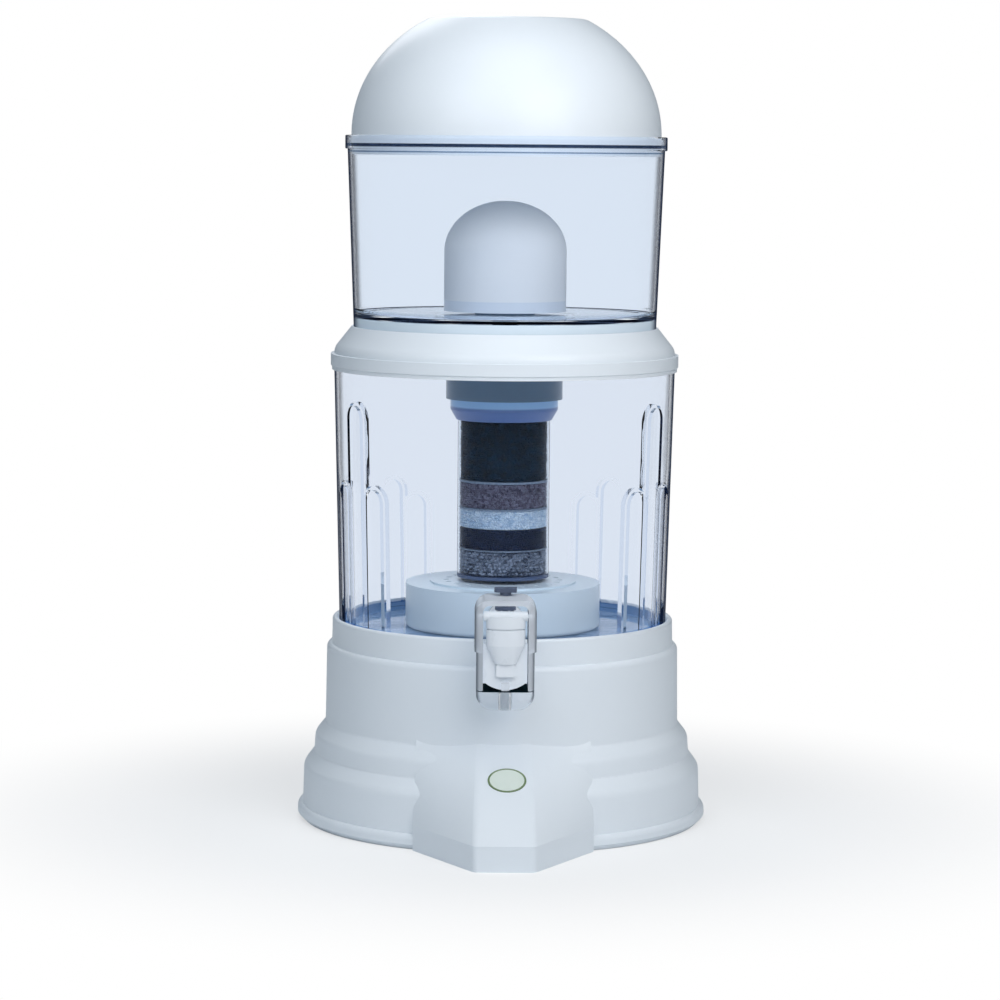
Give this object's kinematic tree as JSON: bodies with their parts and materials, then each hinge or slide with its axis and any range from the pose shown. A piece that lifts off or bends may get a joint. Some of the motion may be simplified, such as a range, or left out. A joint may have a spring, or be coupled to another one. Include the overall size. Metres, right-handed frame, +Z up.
{
  "type": "gravity water purifier",
  "caption": "Gravity water purifier: clear upper tank with a ceramic filter, white collar and lid, hanging media cartridge, fluted lower tank with a push-lever tap, and a stepped white base.",
  "frame": {"origin": "on the floor under the tanks' common axis, in the plane of the base's foot", "axes": "+Z up along the tanks' axis; -Y is the front, with the tap; +X is the viewer's right"},
  "size_m": [0.3026, 0.3602, 0.5885],
  "materials": {
    "white_shell": "gloss",
    "clear_tank": "clear, lightly tinted",
    "clear_cartridge": "clear",
    "clear_tap": "clear",
    "case_plastic": "satin",
    "cap_blue": "satin",
    "ceramic_white": "matt, porous",
    "candle_plate": "satin",
    "seal_rubber": "matt",
    "nut_plastic": "satin",
    "carbon": "granular",
    "fine_carbon": "granular",
    "silica": "granular",
    "mineral_sand": "granular",
    "gravel": "granular",
    "felt": "fibrous",
    "stone_beads": "matt",
    "tap_white": "gloss",
    "tap_grey": "satin",
    "spring_steel": "drawn wire"
  },
  "bodies": {
    "stand": {"base": "white_shell"},
    "tank": {"lower_tank": "clear_tank", "stone_case": "case_plastic", "stone_case_lid": "case_plastic", "mineral_stones": "stone_beads", "tap_valve_body": "tap_white", "tap_outer_gasket": "seal_rubber", "tap_inner_gasket": "seal_rubber", "tap_nut": "tap_white", "valve_bonnet": "tap_white", "tap_nozzle": "tap_grey", "lever_pin": "spring_steel", "tap_hood": "clear_tap", "tap_guard": "clear_tap"},
    "collar": {"middle_collar": "white_shell"},
    "reservoir": {"upper_tank": "clear_tank", "ceramic_dome": "ceramic_white", "ceramic_base": "candle_plate", "ceramic_gasket": "seal_rubber", "floor_washer": "seal_rubber"},
    "cover": {"lid": "white_shell"},
    "clamp_nut": {"wing_nut": "nut_plastic"},
    "cartridge": {"cartridge_cap": "cap_blue", "cartridge_gasket": "seal_rubber", "cartridge_shell": "clear_cartridge", "cartridge_strainer": "cap_blue", "gravel_layer": "gravel", "fine_carbon_layer": "fine_carbon", "silica_layer": "silica", "mineral_sand_layer": "mineral_sand", "carbon_layer": "carbon", "separator_pads": "felt"},
    "lever": {"tap_lever": "tap_white"},
    "stem": {"valve_stem": "tap_grey", "valve_seal": "seal_rubber", "valve_spring": "spring_steel"}
  },
  "joints": [
    {"name": "lower_tank_lift", "type": "slide", "parent": "stand", "child": "tank", "axis": [0, 0, 1], "range_m": [0, 0.06]},
    {"name": "collar_lift", "type": "slide", "parent": "tank", "child": "collar", "axis": [0, 0, 1], "range_m": [0, 0.17]},
    {"name": "upper_tank_lift", "type": "slide", "parent": "collar", "child": "reservoir", "axis": [0, 0, 1], "range_m": [0, 0.19]},
    {"name": "lid_lift", "type": "slide", "parent": "reservoir", "child": "cover", "axis": [0, 0, 1], "range_m": [0, 0.1]},
    {"name": "wing_nut_turn", "type": "hinge", "parent": "reservoir", "child": "clamp_nut", "pos_m": [0, 0, 0.3637], "axis": [0, 0, 1], "continuous": true},
    {"name": "cartridge_unscrew", "type": "hinge", "parent": "reservoir", "child": "cartridge", "pos_m": [0, 0, 0.3345], "axis": [0, 0, 1], "range_deg": [0, 720]},
    {"name": "tap_lever_swing", "type": "hinge", "parent": "tank", "child": "lever", "pos_m": [0, -0.17409, 0.1729], "axis": [1, 0, 0], "range_deg": [0, 9], "stiffness_Nm_per_rad": 0.3, "springref_deg": -6.88},
    {"name": "valve_stem_lift", "type": "slide", "parent": "tank", "child": "stem", "axis": [0, 0, 1], "range_m": [0, 0.0038], "deforming": ["valve_spring"]}
  ],
  "couplings": [
    {"joint": "valve_stem_lift", "follows": "tap_lever_swing", "m_per_rad": 0.0239}
  ]
}
